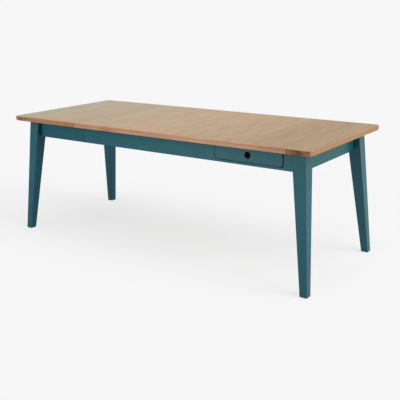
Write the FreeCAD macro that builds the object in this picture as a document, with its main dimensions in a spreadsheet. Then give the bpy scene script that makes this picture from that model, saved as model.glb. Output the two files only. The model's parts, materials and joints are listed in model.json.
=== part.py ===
"""Extending dining table: an oak top on a painted base whose left end slides out on rails.

Millimetres. The origin is on the floor under the middle of the closed table, +X runs along the length
to the right, -Y is the front with the drawer, and +Z is up.
"""
import FreeCAD, Part
import os
import re

# Driving sizes: alias, value and what it measures
SIZES = [
    ("table_length", 2100, "closed length of the top"),
    ("table_width", 880, "width of the top"),
    ("table_height", 760, "floor to the upper face of the top"),
    ("top_thickness", 27, "thickness of the top and of each half of the leaf"),
    ("seam_from_left", 536, "left end to the joint across the top"),
    ("seam_gap", 1, "gap left at the joint between the fixed part and the sliding end"),
    ("end_board_width", 136, "width of the cross board at each end of the top"),
    ("corner_radius", 26, "plan radius of the corners of the top"),
    ("edge_ease", 2.5, "rounding of the arrises round the top"),
    ("lipping_width", 12, "width of the strip along the front and back of the top"),
    ("tongue_thickness", 8, "loose tongue between a panel and its end board"),
    ("tongue_width", 24, "loose tongue, measured across the joint"),
    ("tongue_set_in", 60, "loose tongue, how far it stops short of the front and back"),
    ("glue_gap", 0.1, "room round a tongue, pin or screw in its slot or hole"),
    ("leg_inset_x_top", 64, "top's end to the leg's outer face, under the top"),
    ("leg_inset_y_top", 74, "top's side to the leg's outer face, under the top"),
    ("leg_inset_x_foot", 5, "top's end to the leg's outer face, at the foot"),
    ("leg_inset_y_foot", 21, "top's side to the leg's outer face, at the foot"),
    ("leg_top", 77, "side of the square leg under the top"),
    ("leg_foot", 42, "side of the square leg at the foot"),
    ("leg_ease", 2.5, "rounding of the leg's arrises"),
    ("glide_height", 2, "glide under each foot"),
    ("glide_diameter", 26, "glide under each foot"),
    ("apron_setback", 96, "edge of the top to the outer face of the aprons"),
    ("apron_height", 108.5, "height of the aprons"),
    ("apron_thickness", 22, "thickness of the aprons"),
    ("apron_ease", 1.5, "rounding of the aprons' lower outer arris"),
    ("apron_seam_lap", 21, "how far the fixed aprons reach past the joint in the top"),
    ("apron_seam_gap", 2, "gap left at the joint between the long aprons"),
    ("plate_thickness", 4, "steel corner plate"),
    ("plate_height", 64, "steel corner plate"),
    ("plate_gap", 6, "leg's inner corner to the corner plate, taken up by the bolts"),
    ("plate_tab", 8, "depth of the corner plate's tabs in the aprons"),
    ("bolt_diameter", 8, "hanger bolt"),
    ("bolt_in_leg", 44, "length of a hanger bolt inside the leg"),
    ("bolt_end", 16, "length of a hanger bolt past the corner plate"),
    ("bolt_spacing", 30, "height between the two bolts of a leg"),
    ("nut_width", 13, "hexagon nut, across its flats"),
    ("nut_height", 6.5, "hexagon nut"),
    ("rail_thickness", 26, "outer and inner rails"),
    ("rail_height", 70, "outer and inner rails"),
    ("rail_tongue_height", 20, "tongue along the inner rail"),
    ("rail_tongue_depth", 11, "tongue along the inner rail"),
    ("slide_clearance", 0.5, "room between faces that slide past each other"),
    ("slide_travel", 420, "how far the end slides out"),
    ("rail_end_room", 46, "end of the inner rails to the middle bearer"),
    ("stop_pin_diameter", 10, "pin that stops the slide"),
    ("stop_pin_depth", 14, "stop pin's length inside the rail"),
    ("stop_block_length", 24, "block that the stop pin meets"),
    ("stop_height", 9, "height of the block that the stop pin meets"),
    ("bearer_thickness", 22, "cross bearers"),
    ("bearer_height", 94, "cross bearers"),
    ("bearer_drawer_gap", 90, "middle bearer to the drawer's opening"),
    ("bearer_leg_gap", 70, "left bearer to the left legs"),
    ("stretcher_width", 80, "low stretcher at the open end of the fixed frame"),
    ("stretcher_thickness", 20, "low stretcher at the open end of the fixed frame"),
    ("stretcher_clearance", 2.5, "stretcher to the rails above it"),
    ("leaf_length", 400, "length that the leaf adds to the table"),
    ("leaf_clearance", 8, "folded leaf to the underside of the top"),
    ("leaf_fold_gap", 0.6, "gap between the folded halves"),
    ("carrier_width", 60, "boards that carry the leaf"),
    ("carrier_thickness", 18, "boards that carry the leaf"),
    ("carrier_inset", 30, "leaf's end to the board that carries it"),
    ("carrier_lift", 2, "underside of the rails to the underside of the carriers"),
    ("hinge_length", 60, "leaf hinge"),
    ("hinge_plate", 2, "thickness of a hinge plate, let into the leaf's edge"),
    ("hinge_reach", 16, "height of a hinge plate on the leaf's edge"),
    ("knuckle_diameter", 7, "hinge knuckles"),
    ("hinge_pin_diameter", 3, "hinge pin"),
    ("hinge_inset", 60, "leaf's end to its hinge"),
    ("dowel_diameter", 10, "dowels at the joint in the top"),
    ("dowel_socket_clearance", 0.4, "room round a dowel in its socket"),
    ("dowel_set", 22, "dowel's length inside the fixed panel"),
    ("dowel_reach", 16, "dowel's length inside the sliding panel"),
    ("dowel_from_side", 140, "top's side to the outer dowels"),
    ("magnet_diameter", 14, "magnets and strike discs at the apron joint"),
    ("magnet_length", 8, "magnets at the apron joint"),
    ("strike_thickness", 3, "strike discs at the apron joint"),
    ("drawer_from_right", 193, "right end of the top to the drawer's opening"),
    ("drawer_opening_width", 421, "opening in the front apron"),
    ("drawer_rail_height", 13, "apron left above and below the opening"),
    ("drawer_opening_radius", 16, "corners of the opening"),
    ("drawer_gap_left", 2, "drawer front to the opening"),
    ("drawer_gap_right", 9, "drawer front to the opening"),
    ("drawer_gap_rim", 3.5, "drawer front to the opening, above and below"),
    ("drawer_front_radius", 13, "corners of the drawer front"),
    ("drawer_front_thickness", 18, "drawer front"),
    ("drawer_front_ease", 1.2, "rounding round the drawer front and its finger hole"),
    ("finger_hole_diameter", 38, "finger hole in the drawer front"),
    ("drawer_side_inset", 8, "end of the drawer front to the outer face of the drawer's side"),
    ("drawer_side_thickness", 12, "drawer sides and back"),
    ("drawer_side_lift", 8, "opening's edge to the drawer side's edge, above and below"),
    ("drawer_depth", 380, "length of the drawer's sides"),
    ("drawer_back_drop", 6, "top of the drawer's sides to the top of its back"),
    ("drawer_bottom_thickness", 5, "drawer bottom"),
    ("drawer_groove_depth", 5, "groove for the drawer bottom"),
    ("drawer_groove_lift", 7, "lower edge of the drawer's sides to the groove"),
    ("runner_thickness", 12, "shelf of a drawer runner"),
    ("runner_ledge", 8, "runner's shelf past the inner face of the drawer's side"),
    ("runner_guide", 9, "thickness of the guide beside the drawer"),
    ("runner_guide_height", 18, "height of the guide beside the drawer"),
    ("runner_clearance", 0.3, "drawer side to the shelf under it"),
    ("kicker_clearance", 1, "drawer side to the kicker above it"),
    ("kicker_past", 22, "kicker's length past the end of the drawer"),
    ("drawer_stop_width", 60, "block behind the drawer"),
    ("drawer_stop_thickness", 20, "block behind the drawer"),
    ("drawer_stop_overlap", 18, "how far the block hangs below the top of the drawer's back"),
    ("bracket_leg", 24, "each leg of a top bracket"),
    ("bracket_width", 20, "top bracket"),
    ("bracket_thickness", 2.5, "top bracket"),
    ("bracket_spacing", 180, "distance between neighbouring brackets"),
    ("screw_diameter", 4, "bracket screw"),
    ("screw_length", 11, "bracket screw, under its head"),
    ("screw_head_diameter", 8, "bracket screw"),
    ("screw_head_height", 2.4, "bracket screw"),
]

# Places worked out from the driving sizes; half of the table is mirrored, so y places are taken as positive
PLACES = [
    ("half_length", "table_length / 2"),
    ("half_width", "table_width / 2"),
    ("under", "table_height - top_thickness"),
    ("apron_bottom", "under - apron_height"),
    ("seam_x", "seam_from_left - half_length"),
    ("main_edge", "seam_x + seam_gap / 2"),
    ("left_edge", "seam_x - seam_gap / 2"),
    ("board_line", "half_length - end_board_width"),
    ("panel_side", "half_width - lipping_width"),
    ("tongue_low", "under + (top_thickness - tongue_thickness) / 2"),
    ("apron_face_y", "half_width - apron_setback"),
    ("apron_back_y", "apron_face_y - apron_thickness"),
    ("apron_face_x", "half_length - apron_setback"),
    ("apron_back_x", "apron_face_x - apron_thickness"),
    ("main_apron_end", "main_edge - apron_seam_lap"),
    ("left_apron_end", "main_apron_end - apron_seam_gap"),
    ("leg_share", "apron_height / (under - glide_height)"),
    ("leg_in_x_top", "half_length - leg_inset_x_top - leg_top"),
    ("leg_in_x_foot", "half_length - leg_inset_x_foot - leg_foot"),
    ("leg_in_x_apron", "leg_in_x_top + (leg_in_x_foot - leg_in_x_top) * leg_share"),
    ("leg_in_y_top", "half_width - leg_inset_y_top - leg_top"),
    ("leg_in_y_foot", "half_width - leg_inset_y_foot - leg_foot"),
    ("leg_in_y_apron", "leg_in_y_top + (leg_in_y_foot - leg_in_y_top) * leg_share"),
    ("leg_corner", "(apron_back_x - leg_in_x_top + apron_back_y - leg_in_y_top) / sqrt(2)"),
    ("plate_near", "leg_corner + plate_gap"),
    ("plate_far", "plate_near + plate_thickness"),
    ("plate_low", "under - (apron_height + plate_height) / 2"),
    ("plate_high", "plate_low + plate_height"),
    ("bolt_start", "leg_corner - bolt_in_leg"),
    ("leaf_high", "under - leaf_clearance"),
    ("leaf_split", "leaf_high - top_thickness - leaf_fold_gap / 2"),
    ("leaf_low", "leaf_high - 2 * top_thickness - leaf_fold_gap"),
    ("leaf_left", "seam_x + (slide_travel - leaf_length) / 2 - seam_gap"),
    ("leaf_right", "leaf_left + leaf_length"),
    ("leaf_side", "half_width / 2"),
    ("carrier_low", "leaf_low - carrier_thickness"),
    ("rail_low", "carrier_low - carrier_lift"),
    ("rail_high", "rail_low + rail_height"),
    ("rail_tongue_low", "rail_low + (rail_height - rail_tongue_height) / 2"),
    ("rail_tongue_high", "rail_tongue_low + rail_tongue_height"),
    ("outer_rail_y", "apron_back_y - rail_thickness"),
    ("inner_rail_out", "outer_rail_y - slide_clearance"),
    ("inner_rail_in", "inner_rail_out - rail_thickness"),
    ("rail_middle_y", "inner_rail_out - rail_thickness / 2"),
    ("opening_right", "half_length - drawer_from_right"),
    ("opening_left", "opening_right - drawer_opening_width"),
    ("opening_low", "apron_bottom + drawer_rail_height"),
    ("opening_high", "under - drawer_rail_height"),
    ("bearer_right", "opening_left - bearer_drawer_gap"),
    ("bearer_left", "bearer_right - bearer_thickness"),
    ("bearer_low", "under - bearer_height"),
    ("left_bearer_out", "bearer_leg_gap - leg_in_x_top"),
    ("left_bearer_in", "left_bearer_out + bearer_thickness"),
    ("inner_rail_end", "bearer_left - rail_end_room"),
    ("stop_pin_x", "inner_rail_end - 2 * stop_pin_diameter"),
    ("stop_block_right", "stop_pin_x - slide_travel - stop_pin_diameter / 2 - slide_clearance"),
    ("stretcher_high", "rail_low - stretcher_clearance"),
    ("stretcher_low", "stretcher_high - stretcher_thickness"),
    ("drawer_left", "opening_left + drawer_gap_left"),
    ("drawer_right", "opening_right - drawer_gap_right"),
    ("drawer_low", "opening_low + drawer_gap_rim"),
    ("drawer_high", "opening_high - drawer_gap_rim"),
    ("drawer_middle_x", "(drawer_left + drawer_right) / 2"),
    ("drawer_middle_z", "(drawer_low + drawer_high) / 2"),
    ("drawer_front_back", "drawer_front_thickness - apron_face_y"),
    ("drawer_end", "drawer_front_back + drawer_depth"),
    ("side_left_out", "drawer_left + drawer_side_inset"),
    ("side_left_in", "side_left_out + drawer_side_thickness"),
    ("side_right_out", "drawer_right - drawer_side_inset"),
    ("side_right_in", "side_right_out - drawer_side_thickness"),
    ("side_low", "opening_low + drawer_side_lift"),
    ("side_high", "opening_high - drawer_side_lift"),
    ("groove_low", "side_low + drawer_groove_lift"),
    ("groove_high", "groove_low + drawer_bottom_thickness + glue_gap"),
    ("back_high", "side_high - drawer_back_drop"),
    ("runner_high", "side_low - runner_clearance"),
    ("runner_low", "runner_high - runner_thickness"),
    ("guide_high", "runner_high + runner_guide_height"),
    ("foot_x", "half_length - leg_inset_x_foot - leg_foot / 2"),
    ("foot_y", "half_width - leg_inset_y_foot - leg_foot / 2"),
    ("top_middle", "under + top_thickness / 2"),
    ("apron_middle", "under - apron_height / 2"),
    ("bracket_screw", "(bracket_leg + bracket_thickness) / 2"),
]

X_AXIS = FreeCAD.Vector(1, 0, 0)
Y_AXIS = FreeCAD.Vector(0, 1, 0)
Z_AXIS = FreeCAD.Vector(0, 0, 1)
UPRIGHT = FreeCAD.Rotation()
ALONG_X = FreeCAD.Rotation(Y_AXIS, 90)
ALONG_Y = FreeCAD.Rotation(X_AXIS, -90)
WEDGE_UP = FreeCAD.Rotation(X_AXIS, 90)
TOUCH = 1e-4

doc = FreeCAD.newDocument("ExtendingTable")
size_sheet = doc.addObject("Spreadsheet::Sheet", "Sizes")
place_sheet = doc.addObject("Spreadsheet::Sheet", "Places")
home = {}
pieces = []


def link(words):
    """Expression text in which every alias carries the name of the sheet that holds it."""
    return re.sub(r"[a-z][a-z_]*", lambda found: home.get(found.group(), "") + found.group(), str(words))


def fill_sheets():
    """Write the driving sizes as plain numbers, then the places as formulas on them."""
    for row, (alias, value, note) in enumerate(SIZES, start=1):
        size_sheet.set(f"A{row}", str(value))
        size_sheet.setAlias(f"A{row}", alias)
        size_sheet.set(f"B{row}", note)
        home[alias] = "Sizes."
    for row, (alias, formula) in enumerate(PLACES, start=1):
        place_sheet.set(f"A{row}", "=" + link(formula))
        place_sheet.setAlias(f"A{row}", alias)
        home[alias] = "Places."
    doc.recompute()


def bind(feature, **expressions):
    """Tie properties of a feature to the sheets."""
    for name, words in expressions.items():
        feature.setExpression(name, link(words))


def put(feature, x, y, z, turn=UPRIGHT):
    """Turn a feature and tie its position to the sheets."""
    feature.Placement = FreeCAD.Placement(FreeCAD.Vector(), turn)
    for axis, words in (("x", x), ("y", y), ("z", z)):
        feature.setExpression("Placement.Base." + axis, link(words))


def new_body(label):
    body = doc.addObject("PartDesign::Body", label)
    body.Label = label
    pieces.append(body)
    return body


def size_box(feature, x, y, z):
    """Give a box its low and high limits on each axis."""
    for name, (low, high) in (("Length", x), ("Width", y), ("Height", z)):
        feature.setExpression(name, link(f"({high}) - ({low})"))
    put(feature, x[0], y[0], z[0])


def add_box(body, x, y, z):
    size_box(body.newObject("PartDesign::AdditiveBox", body.Label + "_block"), x, y, z)


def cut_box(body, x, y, z):
    size_box(body.newObject("PartDesign::SubtractiveBox", body.Label + "_cut"), x, y, z)


def add_taper(body, z, low, high):
    """Block between two level rectangles, each given as its x limits and its y limits."""
    taper = body.newObject("PartDesign::AdditiveWedge", body.Label + "_taper")
    bind(taper, Ymin=z[0], Ymax=z[1], Xmin=low[0][0], Xmax=low[0][1], X2min=high[0][0], X2max=high[0][1],
         Zmin=f"-({low[1][1]})", Zmax=f"-({low[1][0]})", Z2min=f"-({high[1][1]})", Z2max=f"-({high[1][0]})")
    taper.Placement = FreeCAD.Placement(FreeCAD.Vector(), WEDGE_UP)


def cut_hole(body, diameter, length, x, y, z, turn=UPRIGHT):
    """Round hole that starts at a point and runs along the turned Z axis."""
    hole = body.newObject("PartDesign::SubtractiveCylinder", body.Label + "_hole")
    bind(hole, Radius=f"({diameter}) / 2", Height=length)
    put(hole, x, y, z, turn)


def mirrored(limits):
    """Limits on the other side of the middle plane."""
    return f"-({limits[1]})", f"-({limits[0]})"


def on_side(side, limits):
    """Limits given for the positive side, on the side with the given sign."""
    return limits if side > 0 else mirrored(limits)


def round_edges(body, radius, chosen):
    """Round the edges of the body's last feature that the test picks, each given by its bounding box."""
    doc.recompute()
    last = body.Tip
    names = [f"Edge{i}" for i, edge in enumerate(last.Shape.Edges, start=1) if chosen(edge.BoundBox)]
    if not names:
        raise RuntimeError(body.Label + " has no edge to round")
    fillet = body.newObject("PartDesign::Fillet", body.Label + "_ease")
    fillet.Base = (last, names)
    bind(fillet, Radius=radius)
    doc.recompute()


def value(alias):
    """A size or place as a plain number."""
    sheet = size_sheet if home[alias] == "Sizes." else place_sheet
    return float(sheet.get(alias))


def near(a, b):
    return abs(a - b) < TOUCH


def board(label, x, y, z):
    body = new_body(label)
    add_box(body, x, y, z)
    return body


def rod(diameter, length, x, y, z, turn=UPRIGHT):
    """Loose round solid for a group of fasteners."""
    solid = doc.addObject("Part::Cylinder", "rod")
    bind(solid, Radius=f"({diameter}) / 2", Height=length)
    put(solid, x, y, z, turn)
    return solid


def slab(x, y, z):
    """Loose box for a group of small pieces."""
    solid = doc.addObject("Part::Box", "slab")
    size_box(solid, x, y, z)
    return solid


def fused(*solids):
    joined = doc.addObject("Part::MultiFuse", "fused")
    joined.Shapes = list(solids)
    return joined


def cut_from(solid, tool):
    left = doc.addObject("Part::Cut", "left")
    left.Base = solid
    left.Tool = tool
    return left


def group(label, solids):
    """Several separate solids kept as one piece."""
    compound = doc.addObject("Part::Compound", label)
    compound.Label = label
    compound.Links = solids
    pieces.append(compound)


def around(middle, size):
    """Limits of a size centred on a place."""
    return f"({middle}) - ({size}) / 2", f"({middle}) + ({size}) / 2"


# Top: end boards, panels, lippings and the loose tongues between them

TOP_Z = ("under", "table_height")
TONGUE_Z = ("tongue_low", "tongue_low + tongue_thickness")
TONGUE_SLOT_Z = ("tongue_low - glue_gap", "tongue_low + tongue_thickness + glue_gap")
TONGUE_X = around("board_line", "tongue_width")
TONGUE_SLOT_X = around("board_line", "tongue_width + 2 * glue_gap")
TONGUE_Y = ("tongue_set_in - half_width", "half_width - tongue_set_in")
TONGUE_SLOT_Y = ("tongue_set_in - half_width - glue_gap", "half_width - tongue_set_in + glue_gap")
PANEL_Y = ("-panel_side", "panel_side")
DOWEL_Y = ("dowel_from_side - half_width", "0", "half_width - dowel_from_side")


def end_board(label, side):
    """Cross board with rounded outer corners, eased all round its outer edge."""
    body = board(label, on_side(side, ("board_line", "half_length")), ("-half_width", "half_width"), TOP_Z)
    outer = side * value("half_length")
    inner = side * value("board_line")
    round_edges(body, "corner_radius",
                lambda b: near(b.ZLength, value("top_thickness")) and near(b.XMin, outer))
    round_edges(body, "edge_ease",
                lambda b: near(b.ZLength, 0) and not (near(b.XMin, inner) and near(b.XMax, inner)))
    cut_box(body, on_side(side, TONGUE_SLOT_X), TONGUE_SLOT_Y, TONGUE_SLOT_Z)
    return body


def top_section(name, x, side, seam):
    """Panel with a slot for its tongue, and lippings on its front and back edges, eased also at the joint."""
    panel = board(name + "_top_panel", x, PANEL_Y, TOP_Z)
    cut_box(panel, on_side(side, TONGUE_SLOT_X), TONGUE_SLOT_Y, TONGUE_SLOT_Z)
    for edge, sign in (("front", -1), ("back", 1)):
        strip = board(f"{name}_{edge}_lipping", x, on_side(sign, ("panel_side", "half_width")), TOP_Z)
        outer = sign * value("half_width")
        joint = value(seam)
        round_edges(strip, "edge_ease",
                    lambda b: near(b.YMin, outer) and near(b.YMax, outer)
                    and (near(b.ZLength, 0) and not near(b.XLength, 0)
                         or near(b.XMin, joint) and near(b.XMax, joint)))
    return panel


fill_sheets()
main_panel = top_section("main", ("main_edge", "board_line"), 1, "main_edge")
left_panel = top_section("left", ("-board_line", "left_edge"), -1, "left_edge")
left_end_board = end_board("left_end_board", -1)
right_end_board = end_board("right_end_board", 1)
for side_name, side in (("left", -1), ("right", 1)):
    board(side_name + "_board_tongue", on_side(side, TONGUE_X), TONGUE_Y, TONGUE_Z)

dowels = []
for dowel_y in DOWEL_Y:
    dowels.append(rod("dowel_diameter", "dowel_set + dowel_reach + seam_gap",
                      "left_edge - dowel_reach", dowel_y, "top_middle", ALONG_X))
    cut_hole(main_panel, "dowel_diameter + 2 * glue_gap", "dowel_set + glue_gap",
             "main_edge", dowel_y, "top_middle", ALONG_X)
    cut_hole(left_panel, "dowel_diameter + 2 * dowel_socket_clearance", "dowel_reach + 1 + glue_gap",
             "left_edge - dowel_reach - 1", dowel_y, "top_middle", ALONG_X)
group("seam_dowels", dowels)

# Legs: square, tapered and splayed both ways, each on a glide

CORNERS = {
    "left_front": (-1, -1),
    "left_back": (-1, 1),
    "right_front": (1, -1),
    "right_back": (1, 1),
}
# Turn of a corner's diagonal, from +X, so that it points from the leg towards the middle of the table
DIAGONAL = {(-1, -1): 45, (-1, 1): -45, (1, -1): 135, (1, 1): -135}
BOLT_Z = around("apron_middle", "bolt_spacing")


def leg(label, side_x, side_y):
    foot = (on_side(side_x, ("leg_in_x_foot", "half_length - leg_inset_x_foot")),
            on_side(side_y, ("leg_in_y_foot", "half_width - leg_inset_y_foot")))
    head = (on_side(side_x, ("leg_in_x_top", "half_length - leg_inset_x_top")),
            on_side(side_y, ("leg_in_y_top", "half_width - leg_inset_y_top")))
    body = new_body(label)
    add_taper(body, ("glide_height", "under"), foot, head)
    sole = value("glide_height")
    round_edges(body, "leg_ease", lambda b: b.ZLength > value("apron_height") or near(b.ZMax, sole))
    return body


def along_diagonal(side_x, side_y, distance):
    """Point on a corner's diagonal, measured from where the aprons' inner faces would meet."""
    step = f"({distance}) / sqrt(2)"
    return f"{side_x} * (apron_back_x - {step})", f"{side_y} * (apron_back_y - {step})"


def diagonal_turn(side_x, side_y):
    return FreeCAD.Rotation(Z_AXIS, DIAGONAL[side_x, side_y]) * ALONG_X


def corner_plate(label, side_x, side_y):
    """Steel plate across a corner, tabbed into both aprons, that the leg's bolts pull against."""
    body = new_body(label)
    plate = body.newObject("PartDesign::AdditiveWedge", label + "_web")
    bind(plate, Xmin="-plate_near", Xmax="plate_near", X2min="-plate_far", X2max="plate_far",
         Ymin="plate_near", Ymax="plate_far", Zmin="0", Zmax="plate_height", Z2min="0", Z2max="plate_height")
    put(plate, f"{side_x} * apron_back_x", f"{side_y} * apron_back_y", "plate_low",
        FreeCAD.Rotation(Z_AXIS, DIAGONAL[side_x, side_y] - 90))
    tab_x, tab_y = plate_tabs(side_x, side_y, "0")
    add_box(body, *tab_x, ("plate_low", "plate_high"))
    add_box(body, *tab_y, ("plate_low", "plate_high"))
    for bolt_z in BOLT_Z:
        start = along_diagonal(side_x, side_y, "plate_near - plate_gap / 2")
        cut_hole(body, "bolt_diameter + 2 * glue_gap", "plate_gap + plate_thickness", *start, bolt_z,
                 diagonal_turn(side_x, side_y))


def plate_tabs(side_x, side_y, room):
    """X and Y limits of a corner plate's tab in the long apron, then of its tab in the end apron."""
    in_long = (on_side(side_x, (f"apron_back_x - plate_far * sqrt(2) - {room}",
                                f"apron_back_x - plate_near * sqrt(2) + {room}")),
               on_side(side_y, ("apron_back_y", f"apron_back_y + plate_tab + {room}")))
    in_end = (on_side(side_x, ("apron_back_x", f"apron_back_x + plate_tab + {room}")),
              on_side(side_y, (f"apron_back_y - plate_far * sqrt(2) - {room}",
                               f"apron_back_y - plate_near * sqrt(2) + {room}")))
    return in_long, in_end


def leg_bolts(side_name, side_x):
    """Hanger bolts of the two legs at one end, each with its nut against the corner plate."""
    solids = []
    for side_y in (-1, 1):
        turn = diagonal_turn(side_x, side_y)
        for bolt_z in BOLT_Z:
            start = along_diagonal(side_x, side_y, "bolt_start")
            solids.append(rod("bolt_diameter", "plate_far + bolt_end - bolt_start", *start, bolt_z, turn))
            nut = doc.addObject("Part::Prism", "nut")
            nut.Polygon = 6
            bind(nut, Circumradius="nut_width / sqrt(3)", Height="nut_height")
            seat = along_diagonal(side_x, side_y, "plate_far")
            put(nut, *seat, bolt_z, turn)
            bore = rod("bolt_diameter + 2 * glue_gap", "nut_height", *seat, bolt_z, turn)
            solids.append(cut_from(nut, bore))
    group(side_name + "_leg_bolts", solids)


for corner, (side_x, side_y) in CORNERS.items():
    post = leg(corner + "_leg", side_x, side_y)
    for bolt_z in BOLT_Z:
        start = along_diagonal(side_x, side_y, "bolt_start - glue_gap")
        cut_hole(post, "bolt_diameter + 2 * glue_gap", "plate_near - bolt_start", *start, bolt_z,
                 diagonal_turn(side_x, side_y))
    corner_plate(corner + "_corner_plate", side_x, side_y)

for side_name, side_x in (("left", -1), ("right", 1)):
    leg_bolts(side_name, side_x)
    group(side_name + "_foot_glides",
          [rod("glide_diameter", "glide_height", f"{side_x} * foot_x", f"{side_y} * foot_y", "0")
           for side_y in (-1, 1)])

# Aprons: their ends follow the slope of the legs, and their slots take the corner plates

APRON_Y = ("apron_back_y", "apron_face_y")
APRON_X = ("apron_back_x", "apron_face_x")


def long_apron(label, side_x, side_y, free_end):
    """Front or back apron from a leg to the joint at its free end."""
    y = on_side(side_y, APRON_Y)
    to_leg_low = on_side(side_x, (f"{side_x} * {free_end}", "leg_in_x_apron"))
    to_leg_high = on_side(side_x, (f"{side_x} * {free_end}", "leg_in_x_top"))
    body = new_body(label)
    add_taper(body, ("apron_bottom", "under"), (to_leg_low, y), (to_leg_high, y))
    face = side_y * value("apron_face_y")
    low = value("apron_bottom")
    joint = value(free_end)
    round_edges(body, "apron_ease", lambda b: near(b.YMin, face) and near(b.YMax, face)
                and (near(b.ZMax, low) or near(b.XMin, joint) and near(b.XMax, joint)))
    in_long, _ = plate_tabs(side_x, side_y, "glue_gap")
    cut_box(body, *in_long, ("plate_low - glue_gap", "plate_high + glue_gap"))
    return body


def end_apron(label, side_x):
    """Apron across one end, between its two legs."""
    x = on_side(side_x, APRON_X)
    body = new_body(label)
    add_taper(body, ("apron_bottom", "under"),
              (x, ("-leg_in_y_apron", "leg_in_y_apron")), (x, ("-leg_in_y_top", "leg_in_y_top")))
    face = side_x * value("apron_face_x")
    low = value("apron_bottom")
    round_edges(body, "apron_ease", lambda b: near(b.XMin, face) and near(b.XMax, face) and near(b.ZMax, low))
    for side_y in (-1, 1):
        _, in_end = plate_tabs(side_x, side_y, "glue_gap")
        cut_box(body, *in_end, ("plate_low - glue_gap", "plate_high + glue_gap"))
    return body


front_apron = long_apron("front_apron", 1, -1, "main_apron_end")
back_apron = long_apron("back_apron", 1, 1, "main_apron_end")
left_front_apron = long_apron("left_front_apron", -1, -1, "left_apron_end")
left_back_apron = long_apron("left_back_apron", -1, 1, "left_apron_end")
right_end_apron = end_apron("right_end_apron", 1)
left_end_apron = end_apron("left_end_apron", -1)

cut_box(front_apron, ("opening_left", "opening_right"), ("-apron_face_y", "-apron_back_y"),
        ("opening_low", "opening_high"))
opening_ends = (value("opening_left"), value("opening_right"))
round_edges(front_apron, "drawer_opening_radius",
            lambda b: near(b.YLength, value("apron_thickness")) and near(b.XLength, 0) and near(b.ZLength, 0)
            and (near(b.XMin, opening_ends[0]) or near(b.XMin, opening_ends[1])))

# Magnets in the ends of the fixed aprons, and the strike discs that they hold

magnets = []
strikes = []
for fixed, sliding, side_y in ((front_apron, left_front_apron, -1), (back_apron, left_back_apron, 1)):
    middle = (f"{side_y} * (apron_back_y + apron_thickness / 2)", "apron_middle")
    magnets.append(rod("magnet_diameter", "magnet_length", "main_apron_end", *middle, ALONG_X))
    cut_hole(fixed, "magnet_diameter + 2 * glue_gap", "magnet_length", "main_apron_end", *middle, ALONG_X)
    strike_x = "left_apron_end - strike_thickness"
    strikes.append(rod("magnet_diameter", "strike_thickness", strike_x, *middle, ALONG_X))
    cut_hole(sliding, "magnet_diameter + 2 * glue_gap", "strike_thickness", strike_x, *middle, ALONG_X)
group("seam_magnets", magnets)
group("magnet_strikes", strikes)

# Slide: grooved outer rails on the fixed aprons, tongued inner rails on the sliding end

RAIL_Z = ("rail_low", "rail_high")
GROOVE_Z = ("rail_tongue_low - slide_clearance", "rail_tongue_high + slide_clearance")
TONGUE_BAND_Z = ("rail_tongue_low", "rail_tongue_high")
BEARER_Y = ("-apron_back_y", "apron_back_y")

packers = []
stop_pins = []
stop_blocks = []
for edge, side_y in (("front", -1), ("back", 1)):
    outer = board(edge + "_outer_rail", ("main_apron_end", "bearer_left"),
                  on_side(side_y, ("outer_rail_y", "apron_back_y")), RAIL_Z)
    cut_box(outer, ("main_apron_end", "bearer_left"),
            on_side(side_y, ("outer_rail_y", "outer_rail_y + rail_tongue_depth")), GROOVE_Z)
    inner = board(edge + "_inner_rail", ("left_bearer_in", "inner_rail_end"),
                  on_side(side_y, ("inner_rail_in", "inner_rail_out")), RAIL_Z)
    add_box(inner, ("left_bearer_in", "inner_rail_end"),
            on_side(side_y, ("inner_rail_out", "inner_rail_out + rail_tongue_depth")), TONGUE_BAND_Z)
    middle_y = f"{side_y} * rail_middle_y"
    cut_hole(inner, "stop_pin_diameter + 2 * glue_gap", "stop_pin_depth", "stop_pin_x", middle_y,
             "rail_high - stop_pin_depth")
    stop_pins.append(rod("stop_pin_diameter", "under - 2 * slide_clearance - rail_high + stop_pin_depth",
                         "stop_pin_x", middle_y, "rail_high - stop_pin_depth"))
    stop_blocks.append(slab(("stop_block_right - stop_block_length", "stop_block_right"),
                            around(middle_y, "rail_thickness"), ("under - stop_height", "under")))
    for low, high, reach in (("rail_low", "rail_tongue_low", "inner_rail_out"),
                             ("rail_tongue_low", "rail_tongue_high", "inner_rail_out + rail_tongue_depth"),
                             ("rail_tongue_high", "rail_high", "inner_rail_out")):
        packers.append(slab(("left_bearer_in", "left_apron_end - magnet_length"),
                            on_side(side_y, (reach, "apron_back_y")), (low, high)))
group("rail_packers", [fused(*packers[:3]), fused(*packers[3:])])
group("rail_stop_pins", stop_pins)
group("rail_stop_blocks", stop_blocks)

middle_bearer = board("middle_bearer", ("bearer_left", "bearer_right"), BEARER_Y, ("bearer_low", "under"))
left_bearer = board("left_bearer", ("left_bearer_out", "left_bearer_in"), BEARER_Y, ("bearer_low", "under"))
board("open_end_stretcher", ("main_apron_end", "main_apron_end + stretcher_width"), BEARER_Y,
      ("stretcher_low", "stretcher_high"))

# Leaf: two hinged halves, folded face to face on carriers between the inner rails

LEAF_X = ("leaf_left", "leaf_right")
LEAF_Y = ("-leaf_side", "leaf_side")
HINGE_X = ("leaf_left + hinge_inset", "leaf_right - hinge_inset - hinge_length")
PLATE_Y = ("-leaf_side", "hinge_plate - leaf_side")
LOWER_Z = ("leaf_split - leaf_fold_gap / 2 - hinge_reach", "leaf_split - leaf_fold_gap / 2")
UPPER_Z = ("leaf_split + leaf_fold_gap / 2", "leaf_split + leaf_fold_gap / 2 + hinge_reach")
KNUCKLE_Y = "hinge_plate / 2 - leaf_side - knuckle_diameter / 2"

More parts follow.
